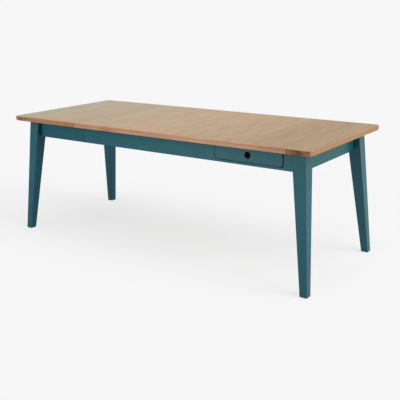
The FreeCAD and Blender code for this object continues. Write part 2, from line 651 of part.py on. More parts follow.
lower_leaf = board("lower_leaf", LEAF_X, LEAF_Y, ("leaf_low", "leaf_low + top_thickness"))
upper_leaf = board("upper_leaf", LEAF_X, LEAF_Y, ("leaf_high - top_thickness", "leaf_high"))
CARRIER_LEFT = "leaf_left + carrier_inset"
CARRIER_RIGHT = "leaf_right - carrier_inset"
group("leaf_carriers",
      [slab(x, ("-inner_rail_in", "inner_rail_in"), ("carrier_low", "leaf_low"))
       for x in ((CARRIER_LEFT, CARRIER_LEFT + " + carrier_width"),
                 (CARRIER_RIGHT + " - carrier_width", CARRIER_RIGHT))])

hinge_leaves = []
hinge_pins = []
for start in HINGE_X:
    plate_x = (start, start + " + hinge_length")
    bore = rod("hinge_pin_diameter + 2 * glue_gap", "hinge_length", start, KNUCKLE_Y, "leaf_split", ALONG_X)
    hinge_pins.append(rod("hinge_pin_diameter", "hinge_length", start, KNUCKLE_Y, "leaf_split", ALONG_X))
    for leaf_body, plate_z, web_z, thirds in (
            (lower_leaf, LOWER_Z, ("leaf_split - knuckle_diameter / 4", LOWER_Z[1]), (0, 2)),
            (upper_leaf, UPPER_Z, (UPPER_Z[0], "leaf_split + knuckle_diameter / 4"), (1,))):
        cut_box(leaf_body, plate_x, PLATE_Y, plate_z)
        solids = [slab(plate_x, PLATE_Y, plate_z)]
        for third in thirds:
            knuckle_x = f"{start} + hinge_length * {third} / 3 + glue_gap"
            knuckle_long = "hinge_length / 3 - 2 * glue_gap"
            solids.append(rod("knuckle_diameter", knuckle_long, knuckle_x, KNUCKLE_Y, "leaf_split", ALONG_X))
            solids.append(slab((knuckle_x, f"{knuckle_x} + {knuckle_long}"), (KNUCKLE_Y, PLATE_Y[1]), web_z))
        hinge_leaves.append(cut_from(fused(*solids), bore))
group("leaf_hinges", hinge_leaves)
group("leaf_hinge_pins", hinge_pins)

# Drawer: an inset front with a finger hole, and a box that runs on shelves behind the front apron

SIDE_Y = ("drawer_front_back", "drawer_end")
SIDE_Z = ("side_low", "side_high")
GROOVE_BAND_Z = ("groove_low", "groove_high")
LEFT_SIDE_X = ("side_left_out", "side_left_in")
RIGHT_SIDE_X = ("side_right_in", "side_right_out")
LEFT_GROOVE_X = ("side_left_in - drawer_groove_depth", "side_left_in")
RIGHT_GROOVE_X = ("side_right_in", "side_right_in + drawer_groove_depth")
BOTTOM_X = ("side_left_in - drawer_groove_depth + glue_gap", "side_right_in + drawer_groove_depth - glue_gap")

drawer_front = board("drawer_front", ("drawer_left", "drawer_right"), ("-apron_face_y", "drawer_front_back"),
                     ("drawer_low", "drawer_high"))
round_edges(drawer_front, "drawer_front_radius", lambda b: near(b.YLength, value("drawer_front_thickness")))
cut_hole(drawer_front, "finger_hole_diameter", "drawer_front_thickness", "drawer_middle_x", "-apron_face_y",
         "drawer_middle_z", ALONG_Y)
round_edges(drawer_front, "drawer_front_ease",
            lambda b: near(b.YMin, -value("apron_face_y")) and near(b.YMax, -value("apron_face_y")))
cut_box(drawer_front, (LEFT_GROOVE_X[0], RIGHT_GROOVE_X[1]),
        ("drawer_front_back - drawer_groove_depth", "drawer_front_back"), GROOVE_BAND_Z)

cut_box(board("drawer_left_side", LEFT_SIDE_X, SIDE_Y, SIDE_Z), LEFT_GROOVE_X, SIDE_Y, GROOVE_BAND_Z)
cut_box(board("drawer_right_side", RIGHT_SIDE_X, SIDE_Y, SIDE_Z), RIGHT_GROOVE_X, SIDE_Y, GROOVE_BAND_Z)
board("drawer_back", ("side_left_in", "side_right_in"), ("drawer_end - drawer_side_thickness", "drawer_end"),
      ("groove_high", "back_high"))
board("drawer_bottom", BOTTOM_X, ("drawer_front_back - drawer_groove_depth + glue_gap", "drawer_end"),
      ("groove_low", "groove_low + drawer_bottom_thickness"))


def drawer_runner(label, outer_face, inner_face, away):
    """Shelf under one side of the drawer with a guide beside it; away points from the drawer outwards."""
    guide_near = f"{outer_face} + {away} * slide_clearance"
    guide_far = f"{outer_face} + {away} * (slide_clearance + runner_guide)"
    shelf_end = f"{inner_face} - {away} * runner_ledge"
    shelf = (shelf_end, guide_far) if away > 0 else (guide_far, shelf_end)
    guide = (guide_near, guide_far) if away > 0 else (guide_far, guide_near)
    body = board(label, shelf, BEARER_Y, ("runner_low", "runner_high"))
    add_box(body, guide, BEARER_Y, ("runner_high", "guide_high"))


drawer_runner("left_drawer_runner", "side_left_out", "side_left_in", -1)
drawer_runner("right_drawer_runner", "side_right_out", "side_right_in", 1)
KICKER_Y = ("-apron_back_y", "drawer_end + kicker_past")
KICKER_Z = ("side_high + kicker_clearance", "under")
group("drawer_kickers", [slab(x, KICKER_Y, KICKER_Z) for x in (LEFT_SIDE_X, RIGHT_SIDE_X)])
board("drawer_stop", around("drawer_middle_x", "drawer_stop_width"),
      ("drawer_end + runner_clearance", "drawer_end + runner_clearance + drawer_stop_thickness"),
      ("back_high - drawer_stop_overlap", "under"))

# Brackets that hold the tops down on the bearers and end aprons, with their screws


def top_brackets(name, tops, rows):
    """Brackets in rows; a row has the piece it is screwed to, its face and the way that the bracket points.

    The upward holes are cut through whichever of the top's pieces lies above them.
    """
    brackets = []
    screws = []
    for rail, face, away in rows:
        for step in (-1, 0, 1):
            y = f"{step} * bracket_spacing"
            inner = (face, f"{face} + bracket_leg") if away > 0 else (f"{face} - bracket_leg", face)
            upright = ((face, f"{face} + bracket_thickness") if away > 0
                       else (f"{face} - bracket_thickness", face))
            across = around(y, "bracket_width")
            plain = fused(slab(inner, across, ("under - bracket_thickness", "under")),
                          slab(upright, across, ("under - bracket_leg", "under")))
            up_x = f"{face} + {away} * bracket_screw"
            side_z = "under - bracket_screw"
            hole = "screw_diameter + 2 * glue_gap"
            # One screw goes up into the panel, the other sideways into the rail
            up_hole = rod(hole, "bracket_thickness", up_x, y, "under - bracket_thickness")
            side_hole = rod(hole, "bracket_thickness", upright[0], y, side_z, ALONG_X)
            brackets.append(cut_from(cut_from(plain, up_hole), side_hole))
            for top in tops:
                cut_hole(top, hole, "screw_length - bracket_thickness + glue_gap", up_x, y, "under")
            screws.append(fused(
                rod("screw_diameter", "screw_length", up_x, y, "under - bracket_thickness"),
                rod("screw_head_diameter", "screw_head_height", up_x, y,
                    "under - bracket_thickness - screw_head_height")))
            head_face = f"{face} + {away} * bracket_thickness"
            tip_x = f"{head_face} - {away} * screw_length"
            shank_x = tip_x if away > 0 else head_face
            head_x = head_face if away > 0 else f"{head_face} - screw_head_height"
            bore = "screw_length - bracket_thickness + glue_gap"
            cut_hole(rail, hole, bore, f"{face} - ({bore})" if away > 0 else face, y, side_z, ALONG_X)
            screws.append(fused(rod("screw_diameter", "screw_length", shank_x, y, side_z, ALONG_X),
                                rod("screw_head_diameter", "screw_head_height", head_x, y, side_z, ALONG_X)))
    group(name + "_top_brackets", brackets)
    group(name + "_top_screws", screws)


top_brackets("main", (main_panel, right_end_board),
             ((right_end_apron, "apron_back_x", -1), (middle_bearer, "bearer_right", 1)))
top_brackets("left", (left_panel, left_end_board),
             ((left_end_apron, "-apron_back_x", 1), (left_bearer, "left_bearer_out", -1)))


def write_pieces():
    """Stop if any feature failed, then write each piece to its own file."""
    doc.recompute()
    for thing in doc.Objects:
        if "Invalid" in thing.State or "Error" in thing.State:
            raise RuntimeError(thing.Name + " failed")
    for piece in pieces:
        if piece.Shape.isNull() or not piece.Shape.isValid():
            raise RuntimeError(piece.Label + " has no valid shape")
    os.makedirs("parts", exist_ok=True)
    for piece in pieces:
        piece.Shape.exportStep(f"parts/{piece.Label}.step")
    print(len(pieces), "pieces,", sum(len(piece.Shape.Solids) for piece in pieces), "solids")


write_pieces()
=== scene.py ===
# %% [markdown]
# # An extending dining table
# The table has an oak top on a dark teal painted base. Its left end slides out on hidden rails, and a drawer
# with a finger hole opens at the front. Nearly all of its shapes come from the imported CAD model, so this
# lesson is about the rest: the finishes, a few small fasteners, the light and the view. The packed model is
# loaded first.

# %% Load the imported table
import json
import math

import bmesh
import bpy
from mathutils import Euler, Matrix, Vector


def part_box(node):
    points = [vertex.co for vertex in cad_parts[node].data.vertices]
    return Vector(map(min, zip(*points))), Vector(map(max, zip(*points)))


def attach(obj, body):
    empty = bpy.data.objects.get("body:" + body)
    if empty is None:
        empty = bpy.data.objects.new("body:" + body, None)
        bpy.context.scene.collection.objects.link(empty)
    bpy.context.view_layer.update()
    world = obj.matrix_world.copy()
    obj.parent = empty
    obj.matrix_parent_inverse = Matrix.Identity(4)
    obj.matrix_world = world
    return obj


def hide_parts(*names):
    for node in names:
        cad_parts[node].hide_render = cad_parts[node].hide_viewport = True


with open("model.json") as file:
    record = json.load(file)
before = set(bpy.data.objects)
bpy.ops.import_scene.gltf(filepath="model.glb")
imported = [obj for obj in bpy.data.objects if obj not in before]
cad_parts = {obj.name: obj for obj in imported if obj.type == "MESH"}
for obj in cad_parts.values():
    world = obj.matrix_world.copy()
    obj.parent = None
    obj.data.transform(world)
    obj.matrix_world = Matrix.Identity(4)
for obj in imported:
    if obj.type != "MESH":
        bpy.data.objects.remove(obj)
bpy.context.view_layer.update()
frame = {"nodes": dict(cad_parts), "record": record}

nodes = frame["nodes"]

# %% [markdown]
# ## The view
# The photograph was taken from the right, a little above the table, with a longish lens. A camera could be
# set by eye, but then some edges would miss their places. So the place, turn and lens below were found by
# fitting the edges of the top, the aprons and the legs to straight lines in the picture. The camera is
# also rolled by less than a degree, as a hand-levelled one is.

# %% Camera
CAMERA_PLACE = (2.4152, -3.2445, 1.4167)
CAMERA_YAW = 35.584
CAMERA_PITCH = 16.041
CAMERA_ROLL = 0.721
LENS = 60.35
SENSOR_WIDTH = 36.0

scene = bpy.context.scene
camera_data = bpy.data.cameras.new("camera")
camera_data.lens = LENS
camera_data.sensor_width = SENSOR_WIDTH
camera = bpy.data.objects.new("camera", camera_data)
scene.collection.objects.link(camera)
level_view = Euler((math.radians(90 - CAMERA_PITCH), 0, math.radians(CAMERA_YAW))).to_matrix()
rolled_view = level_view @ Matrix.Rotation(math.radians(-CAMERA_ROLL), 3, "Z")
camera.matrix_world = Matrix.Translation(CAMERA_PLACE) @ rolled_view.to_4x4()
scene.camera = camera
scene.view_settings.view_transform = "Standard"
print("camera at", CAMERA_PLACE)

# %% [markdown]
# ## Building node trees
# A material is a small graph of nodes, which could be drawn by hand in the shader editor. In code it stays
# readable with a few short helpers. One adds a node, sets its options and plugs values or other sockets
# into its inputs. The others build on it for sums, ranges and noise.

# %% Node helpers


def add(tree, kind, feeds=None, **options):
    """Add a node; feeds maps input names or numbers to a value or to the socket that drives it."""
    made = tree.nodes.new("ShaderNode" + kind)
    for name, value in options.items():
        setattr(made, name, value)
    for name, value in (feeds or {}).items():
        if isinstance(value, bpy.types.NodeSocket):
            tree.links.new(value, made.inputs[name])
        else:
            made.inputs[name].default_value = value
    return made


def work(tree, operation, *values, clamp=False):
    """One step of arithmetic; returns the socket with the result."""
    return add(tree, "Math", dict(enumerate(values)), operation=operation, use_clamp=clamp).outputs[0]


def ramp(tree, value, low, high, to_low=0.0, to_high=1.0):
    """Value taken smoothly from one range to another."""
    feeds = {"Value": value, "From Min": low, "From Max": high, "To Min": to_low, "To Max": to_high}
    return add(tree, "MapRange", feeds, interpolation_type="SMOOTHSTEP").outputs["Result"]


def stretch(tree, vector, scale):
    """A vector with each of its axes scaled."""
    return add(tree, "VectorMath", {0: vector, 1: scale}, operation="MULTIPLY").outputs[0]


def noise(tree, vector, scale=1.0, detail=2.0, roughness=0.5):
    """Smooth noise from 0 to 1; a higher scale gives finer spots."""
    feeds = {"Vector": vector, "Scale": scale, "Detail": detail, "Roughness": roughness}
    return add(tree, "TexNoise", feeds).outputs["Fac"]


# %% [markdown]
# ## Blends and node groups
# Several finishes share an effect, such as the grain of wood. Its nodes could be copied into every
# material, but then each change would have to be made many times. So the effect is made once as a node
# group, with named inputs and outputs, and each material places the group with its own values.

# %% Blend and group helpers
# The Mix node has sockets for each kind of data, and these are the ones for colours
MIX_FACTOR, MIX_FIRST, MIX_SECOND, MIX_RESULT = 0, 6, 7, 2


def mix(tree, factor, first, second, blend="MIX"):
    """Blend of two colours."""
    feeds = {MIX_FACTOR: factor, MIX_FIRST: first, MIX_SECOND: second}
    return add(tree, "Mix", feeds, data_type="RGBA", blend_type=blend).outputs[MIX_RESULT]


def new_group(name, inputs, outputs):
    """Empty node group; its sockets are given as (name, kind, default) and (name, kind)."""
    group = bpy.data.node_groups.new(name, "ShaderNodeTree")
    for label, kind, default in inputs:
        socket = group.interface.new_socket(label, in_out="INPUT", socket_type="NodeSocket" + kind)
        if default is not None:
            socket.default_value = default
    for label, kind in outputs:
        group.interface.new_socket(label, in_out="OUTPUT", socket_type="NodeSocket" + kind)
    return group, group.nodes.new("NodeGroupInput").outputs, group.nodes.new("NodeGroupOutput").inputs


# %% [markdown]
# ## Solid wood: staves
# The top is glued up from strips of oak, which are called staves. A picture of boards could be laid on
# each face, but its lines would break at every corner. So the grain is worked out in space, and every face
# simply cuts through it. The group reads a vector whose Y axis lies along the grain. Across the grain it
# counts off the staves, and each is cut from another part of the tree.

# %% Wood group and its staves
TREE_SPAN = (7.0, 23.0, 5.0)

wood, given, out = new_group(
    "solid wood",
    [("Vector", "Vector", None), ("Normal", "Vector", None), ("Stave Width", "Float", 0.1),
     ("Ring Spacing", "Float", 0.004), ("Light", "Color", None), ("Dark", "Color", None),
     ("Ring Strength", "Float", 0.5), ("Streak Strength", "Float", 0.5), ("Pore Strength", "Float", 0.5),
     ("Stave Variation", "Float", 0.2), ("Joint Strength", "Float", 0.1),
     ("Edge Tint", "Color", (1, 1, 1, 1)), ("End Colour", "Color", None), ("Fleck Rate", "Float", 1.0),
     ("Seed", "Float", 0.0)],
    [("Color", "Color"), ("Height", "Float"), ("Roughness", "Float")])

place = add(wood, "SeparateXYZ", {0: given["Vector"]}).outputs
across = work(wood, "DIVIDE", place["X"], given["Stave Width"])
stave = work(wood, "ADD", work(wood, "FLOOR", across), given["Seed"])
chance = add(wood, "TexWhiteNoise", {"W": stave}, noise_dimensions="1D").outputs["Color"]
luck = add(wood, "SeparateColor", {0: chance}).outputs
shift = stretch(wood, chance, TREE_SPAN)
in_tree = add(wood, "VectorMath", {0: given["Vector"], 1: shift}, operation="ADD").outputs[0]
print("wood group has the inputs", [socket.name for socket in given if socket.name])

# %% [markdown]
# ## Solid wood: rings
# A tree grows one ring a year round its pith, pale at first and dark late in the year. Straight lines
# could stand for the rings, but on a real board they bend into flames. So the group measures the distance
# from a pith that wanders along the inside of the tree, and counts it in rings.

# %% Rings
PITH_WANDER = 0.05
PITH_HEIGHTS = (0.62, 0.70)
BEND_SCALE = (5, 1.1, 5)

bend = noise(wood, stretch(wood, in_tree, BEND_SCALE))
wander = work(wood, "MULTIPLY", work(wood, "SUBTRACT", bend, 0.5), PITH_WANDER)
aside = work(wood, "SUBTRACT", work(wood, "FRACT", across), luck["Red"])
pith_x = work(wood, "MULTIPLY_ADD", aside, given["Stave Width"], wander)
pith_height = ramp(wood, luck["Green"], 0.0, 1.0, *PITH_HEIGHTS)
pith_z = work(wood, "ADD", work(wood, "SUBTRACT", place["Z"], pith_height), wander)
squares = work(wood, "MULTIPLY_ADD", pith_x, pith_x, work(wood, "MULTIPLY", pith_z, pith_z))
ring = work(wood, "FRACT", work(wood, "DIVIDE", work(wood, "SQRT", squares), given["Ring Spacing"]))
late = work(wood, "MULTIPLY", ramp(wood, ring, 0.35, 0.9), ramp(wood, ring, 1.0, 0.93))
print("wood group with rings:", len(wood.nodes), "nodes")

# %% [markdown]
# ## Solid wood: streaks and pores
# Oak also has streaks as broad as a finger, veins as broad as a straw and pores as fine as a hair. Each
# could be drawn as lines, but noise that is stretched along the grain is less even, as wood is. A higher
# fleck rate breaks the streaks and veins into shorter flecks. With the rings, they say how dark the wood
# is.

# %% Streaks, veins and pores
STREAK_SCALE = (26, 2.2, 26)
VEIN_SCALE = (150, 4.5, 150)
PORE_SCALE = (620, 16, 620)

rates = add(wood, "CombineXYZ", {"X": 1.0, "Y": given["Fleck Rate"], "Z": 1.0}).outputs[0]
flecked = stretch(wood, in_tree, rates)
broad = ramp(wood, noise(wood, stretch(wood, flecked, STREAK_SCALE), detail=3.0, roughness=0.6), 0.35, 0.7)
vein = ramp(wood, noise(wood, stretch(wood, flecked, VEIN_SCALE), roughness=0.55), 0.36, 0.68)
streak = work(wood, "MULTIPLY_ADD", vein, 0.45, work(wood, "MULTIPLY", broad, 0.6))
pores = ramp(wood, noise(wood, stretch(wood, in_tree, PORE_SCALE), detail=1.0), 0.56, 0.68)
pores = work(wood, "MULTIPLY", pores, ramp(wood, ring, 0.0, 0.6, 1.0, 0.35))

dark_share = work(wood, "MULTIPLY", late, given["Ring Strength"])
dark_share = work(wood, "MULTIPLY_ADD", streak, given["Streak Strength"], dark_share)
dark_share = work(wood, "MULTIPLY_ADD", pores, given["Pore Strength"], dark_share, clamp=True)
print("wood group with streaks and pores:", len(wood.nodes), "nodes")

# %% [markdown]
# ## Solid wood: tones and joints
# No two staves have quite the same tone, and a dark hairline of glue shows where they meet. Each stave
# could be a piece of its own with its own material. Here the number of a stave already gives a chance
# value, and that is enough to set its lightness and the depth of its colour.

# %% Tones and joints
JOINT_WIDTH = 0.0006

plain = mix(wood, dark_share, given["Light"], given["Dark"])
tone = work(wood, "MULTIPLY_ADD", work(wood, "SUBTRACT", luck["Blue"], 0.5), given["Stave Variation"], 1.0)
depth = work(wood, "MULTIPLY_ADD", work(wood, "SUBTRACT", luck["Green"], 0.5), given["Stave Variation"], 1.0)
sorted_staves = add(wood, "HueSaturation", {"Saturation": depth, "Value": tone, "Color": plain}).outputs[0]
from_joint = work(wood, "MULTIPLY", work(wood, "PINGPONG", across, 0.5), given["Stave Width"])
hairline = ramp(wood, from_joint, JOINT_WIDTH, 0.0, 0.0, given["Joint Strength"])
jointed = mix(wood, hairline, sorted_staves, given["Dark"])
print("wood group with joints:", len(wood.nodes), "nodes")

# %% [markdown]
# ## Solid wood: edges and ends
# The ends of the fibres soak up more of any finish, so a face that looks along the grain is darker and
# blotched. A second material on those faces would do, but the normal already tells which way a face looks,
# and it turns smoothly where a corner is rounded. The long edges can have a tint in the same way.

# %% Edges, ends and outputs
END_DARK = (0.02, 0.009, 0.005, 1)
DARK_BLOTCH = (0.6, 0.56, 0.5, 1)
PALE_BLOTCH = (1.4, 1.35, 1.3, 1)
BLOTCH_SCALE = (34, 4, 34)

facing = add(wood, "SeparateXYZ", {0: given["Normal"]}).outputs
edge_mask = ramp(wood, work(wood, "ABSOLUTE", facing["X"]), 0.3, 0.8)
edged = mix(wood, edge_mask, jointed, mix(wood, 1.0, jointed, given["Edge Tint"], "MULTIPLY"))
end_mask = ramp(wood, work(wood, "ABSOLUTE", facing["Y"]), 0.55, 0.8)
end_plain = mix(wood, work(wood, "MULTIPLY", dark_share, 0.8), given["End Colour"], END_DARK)
blotch = ramp(wood, noise(wood, stretch(wood, in_tree, BLOTCH_SCALE)), 0.3, 0.7)
end_tone = mix(wood, 1.0, end_plain, mix(wood, blotch, DARK_BLOTCH, PALE_BLOTCH), "MULTIPLY")
relief = work(wood, "SUBTRACT", work(wood, "MULTIPLY", late, 0.3), pores)
dullness = work(wood, "MULTIPLY_ADD", dark_share, 0.12, work(wood, "MULTIPLY", end_mask, 0.15))
wood.links.new(mix(wood, end_mask, edged, end_tone), out["Color"])
wood.links.new(work(wood, "SUBTRACT", relief, hairline), out["Height"])
wood.links.new(dullness, out["Roughness"])
print("wood group:", len(wood.nodes), "nodes")

# %% [markdown]
# ## Placing the wood on a piece
# The grain lies along each piece, whichever way the piece runs. The group could be made three times, but it
# is simpler to turn the vector that it reads. A finish may also change its tone from place to place, because
# the maker sorts the staves and no long strip has one colour. The same tones are also used to paint light,
# shade and sheen onto some pieces.

# %% Finish helpers
GRAIN_Y = (0.0, 0.0, 0.0)
GRAIN_X = (0.0, 0.0, math.radians(90))
GRAIN_Z = (math.radians(90), 0.0, 0.0)
WOOD_BUMP = 0.5


def finish(name, roughness, specular=0.5, metallic=0.0):
    """New material with a Principled shader; returns the material, its tree and the shader."""
    made = bpy.data.materials.new(name)
    made.use_nodes = True
    tree = made.node_tree
    shader = tree.nodes["Principled BSDF"]
    shader.inputs["Roughness"].default_value = roughness
    shader.inputs["Specular IOR Level"].default_value = specular
    shader.inputs["Metallic"].default_value = metallic
    return made, tree, shader


def bump(tree, shader, height, strength, distance):
    """Let a height move the shader's normal."""
    made = add(tree, "Bump", {"Height": height, "Strength": strength, "Distance": distance})
    tree.links.new(made.outputs[0], shader.inputs["Normal"])


def toned(tree, colour, tones, blend):
    """Change a colour from place to place.

    Each tone is (axis, place where it starts, place where it is full, colour), and it is blended with the
    colour so far.
    """
    if not tones:
        return colour
    spot = add(tree, "SeparateXYZ", {0: add(tree, "TexCoord").outputs["Object"]}).outputs
    for axis, start, full, tint in tones:
        share = ramp(tree, spot[axis], start, full)
        colour = mix(tree, share, colour, mix(tree, 1.0, colour, tint, blend))
    return colour


def wooden(name, turn, roughness, specular, relief, tints=(), **values):
    """Wood finish whose grain is turned to lie along the piece; the tints multiply its colour."""
    made, tree, shader = finish(name, roughness, specular)
    coords = add(tree, "TexCoord").outputs
    grain = add(tree, "Mapping", {"Vector": coords["Object"], "Rotation": turn}).outputs[0]
    turned = {"Vector": coords["Normal"], "Rotation": turn}
    facing = add(tree, "Mapping", turned, vector_type="NORMAL").outputs[0]
    group = add(tree, "Group", node_tree=wood)
    tree.links.new(grain, group.inputs["Vector"])
    tree.links.new(facing, group.inputs["Normal"])
    for label, value in values.items():
        group.inputs[label.replace("_", " ").title()].default_value = value
    tree.links.new(toned(tree, group.outputs["Color"], tints, "MULTIPLY"), shader.inputs["Base Color"])
    tree.links.new(work(tree, "ADD", group.outputs["Roughness"], roughness), shader.inputs["Roughness"])
    bump(tree, shader, group.outputs["Height"], WOOD_BUMP, relief)
    return made


# %% [markdown]
# ## Oak panels
# The top is matt, pale oak with its grain across the table. One even tone would do for a single board, but
# this top is long: greyer towards the left, warmer towards the right and darkest near the right end. A few
# tints along the table give that. The greyer left and the warmer, darker right are partly sorted staves and
# partly painted sheen, the pale sheen that a low view catches more at the far left. The narrow dark tints
# near the right end are single darker staves.

# %% Oak panels
OAK = dict(roughness=0.62, specular=0.15, relief=0.0004)
OAK_LIGHT = (0.523, 0.391, 0.270, 1)
OAK_DARK = (0.320, 0.203, 0.120, 1)
# The first two tints are partly painted sheen: greyer and bluer to the left, warmer and darker to the right.
PANEL_TINTS = [("X", 0.15, -0.95, (0.93, 1.03, 1.07, 1)), ("X", 0.0, 0.70, (0.965, 0.93, 0.90, 1)),
               ("X", 0.45, 0.70, (0.965, 0.97, 0.98, 1)), ("X", 0.632, 0.674, (0.927, 0.922, 0.91, 1)),
               ("X", 0.825, 0.900, (0.925, 0.915, 0.88, 1))]
oak_panel = wooden("oak panel", GRAIN_Y, tints=PANEL_TINTS, stave_width=0.119, ring_spacing=0.0036,
                   light=OAK_LIGHT, dark=OAK_DARK, ring_strength=0.16, streak_strength=0.29,
                   pore_strength=0.22, stave_variation=0.05, joint_strength=0.12,
                   end_colour=(0.2, 0.085, 0.04, 1), fleck_rate=1.8, seed=3.0, **OAK)
print("oak panel:", len(oak_panel.node_tree.nodes), "nodes")

# %% [markdown]
# ## Oak end boards
# A board across each end finishes the top. Its grain runs the same way as the panels' grain, so it shows
# dark end grain at the front and a warm long edge at the side. A new group could be made for it, but the
# same wood group does it with other colours and an edge tint.

# %% Oak end boards
# The lower half of the front edges is paler and bluer: painted light, for the rounded lower arris that
# catches light from below.
LOWER_HALF_PAINTED_LIGHT = ("Z", 0.7495, 0.7435)
END_BOARD = dict(tints=[(*LOWER_HALF_PAINTED_LIGHT, (0.97, 1.05, 1.12, 1))], edge_tint=(1.09, 0.87, 0.66, 1),
                 stave_width=0.068, ring_spacing=0.004, dark=OAK_DARK, ring_strength=0.16,
                 streak_strength=0.32, pore_strength=0.25, stave_variation=0.05, joint_strength=0.1,
                 fleck_rate=1.8, **OAK)
right_end_oak = wooden("oak of the right end board", GRAIN_Y, light=(0.438, 0.314, 0.200, 1),
                       end_colour=(0.297, 0.133, 0.063, 1), seed=11.0, **END_BOARD)
left_end_oak = wooden("oak of the left end board", GRAIN_Y, light=(0.455, 0.410, 0.320, 1),
                      end_colour=(0.52, 0.255, 0.158, 1), seed=14.0, **END_BOARD)
print("end boards:", right_end_oak.name, "and", left_end_oak.name)

# %% [markdown]
# ## Oak lippings
# A lipping is the strip along the front or back edge that covers the ends of the staves. Its grain runs along
# the table, and it is redder than the panels. Each is paler along its lower half, which is painted light: the
# rounded lower arris catches light from below. The main ones have a redder left end, a short dark stretch and
# a darker right end, so tints along the strip are used again.

# %% Oak lippings
LIPPING = dict(stave_width=0.6, ring_spacing=0.0034, ring_strength=0.2, streak_strength=0.55,
               pore_strength=0.25, stave_variation=0.06, joint_strength=0.0,
               end_colour=(0.3, 0.14, 0.07, 1), **OAK)
MAIN_LIPPING_TINTS = [("X", -0.12, -0.20, (0.99, 0.925, 0.925, 1)),
                      ("X", -0.34, -0.27, (0.84, 0.79, 0.78, 1)),
                      ("X", -0.25, -0.18, (1.19, 1.27, 1.28, 1)),
                      ("X", 0.05, 0.50, (1.03, 1.05, 1.08, 1)),
                      ("X", 0.62, 0.90, (0.75, 0.71, 0.72, 1)),
                      (*LOWER_HALF_PAINTED_LIGHT, (1.06, 1.17, 1.24, 1))]
LEFT_LIPPING_TINTS = [(*LOWER_HALF_PAINTED_LIGHT, (0.88, 1.05, 1.12, 1))]
main_lipping_oak = wooden("oak of the main lippings", GRAIN_X, tints=MAIN_LIPPING_TINTS, seed=5.0,
                          light=(0.650, 0.356, 0.204, 1), dark=(0.398, 0.187, 0.098, 1), **LIPPING)
left_lipping_oak = wooden("oak of the left lippings", GRAIN_X, tints=LEFT_LIPPING_TINTS, seed=8.0,
                          light=(0.524, 0.247, 0.114, 1), dark=(0.350, 0.143, 0.060, 1), **LIPPING)
print("lippings:", main_lipping_oak.name, "and", left_lipping_oak.name)

# %% [markdown]
# ## Beech and drawer board
# The rails, bearers and runners are plain beech, and the drawer's box is made of a pale board. They show only
# when the table or the drawer is open, but then from close by, so a plain colour would not do. The front ends
# of the runners lie behind the gaps round the drawer, and a dark teal tint on them there is painted shade,
# for the shade in those gaps.

# %% Beech and drawer board
BEECH = dict(roughness=0.5, specular=0.4, relief=0.0003, stave_width=0.9, ring_spacing=0.003,
             light=(0.52, 0.35, 0.22, 1), dark=(0.36, 0.21, 0.12, 1), ring_strength=0.2, streak_strength=0.2,
             pore_strength=0.45, stave_variation=0.1, end_colour=(0.34, 0.2, 0.12, 1))
# Painted shade: the runners' front ends, behind the drawer's gaps, are darkened to a dark teal.
PAINTED_GAP_SHADE = [("Y", -0.27, -0.31, (0.04, 0.20, 0.34, 1))]
beech_along = wooden("beech along", GRAIN_X, seed=1.0, **BEECH)
beech_across = wooden("beech across", GRAIN_Y, seed=2.0, **BEECH)
beech_runners = wooden("beech of the drawer runners", GRAIN_Y, tints=PAINTED_GAP_SHADE, seed=7.0, **BEECH)
DRAWER_BOARD = dict(roughness=0.45, specular=0.4, relief=0.0003, stave_width=0.9, ring_spacing=0.0045,
                    light=(0.60, 0.45, 0.30, 1), dark=(0.42, 0.28, 0.16, 1), ring_strength=0.35,
                    streak_strength=0.2, pore_strength=0.2, stave_variation=0.06,
                    end_colour=(0.40, 0.27, 0.16, 1))
drawer_board_y = wooden("drawer board", GRAIN_Y, seed=4.0, **DRAWER_BOARD)
drawer_board_x = wooden("drawer board across", GRAIN_X, seed=6.0, **DRAWER_BOARD)
print("finishes so far:", len(bpy.data.materials))

# %% [markdown]
# ## Teal paint
# The base is sprayed with dark teal paint. A flat colour would be close, but over wood such a coat is
# never quite even: the grain shows through as faint lines along each piece, the coat varies a little in
# depth, and fine dust breaks its sheen. One group makes these three.

# %% Paint group
LINE_SCALE = (420, 9, 420)
CLOUD_SCALE = 5.5
DUST_SCALE = 900.0

coat, given, out = new_group(
    "paint on wood",
    [("Vector", "Vector", None), ("Paint", "Color", None), ("Thin Paint", "Color", None)],
    [("Color", "Color"), ("Height", "Float"), ("Roughness", "Float")])
lines = noise(coat, stretch(coat, given["Vector"], LINE_SCALE))
cloud = noise(coat, given["Vector"], CLOUD_SCALE, 3.0, 0.55)
dust = noise(coat, given["Vector"], DUST_SCALE, 1.0)
thin_clouds = ramp(coat, cloud, 0.3, 0.75, 0.0, 0.55)
thin = work(coat, "ADD", thin_clouds, ramp(coat, lines, 0.45, 0.75, 0.0, 0.3), clamp=True)
coat.links.new(mix(coat, thin, given["Paint"], given["Thin Paint"]), out["Color"])
coat.links.new(work(coat, "MULTIPLY_ADD", lines, 0.8, work(coat, "MULTIPLY", dust, 0.25)), out["Height"])
coat.links.new(work(coat, "MULTIPLY_ADD", cloud, 0.1, work(coat, "MULTIPLY", dust, 0.08)), out["Roughness"])
print("paint group:", len(coat.nodes), "nodes")

# %% [markdown]
# ## Painted finishes
# In the photograph the aprons and the legs differ a little in colour, and the legs are darker near the floor.
# One paint for all could leave these differences to the light, but the light alone didn't give them. So each
# kind of piece has its own finish, which turns the lines along the piece and adds tones from place to place.
# Much of this is painted light: the long aprons get lighter and take a painted sheen towards the right, the
# end aprons have a painted warm reflection near the top, the legs have painted shade towards the floor, and
# the left and right legs have copies of one paint, each set for the light that its legs get.

# %% Painted finishes
# The typical roughness stays on the shader's own socket, and the nodes start from the smoothest
PAINT_ROUGHNESS = 0.33
SMOOTHEST_PAINT = 0.24
PAINT_BUMP = 0.35
PAINT_RELIEF = 0.0002


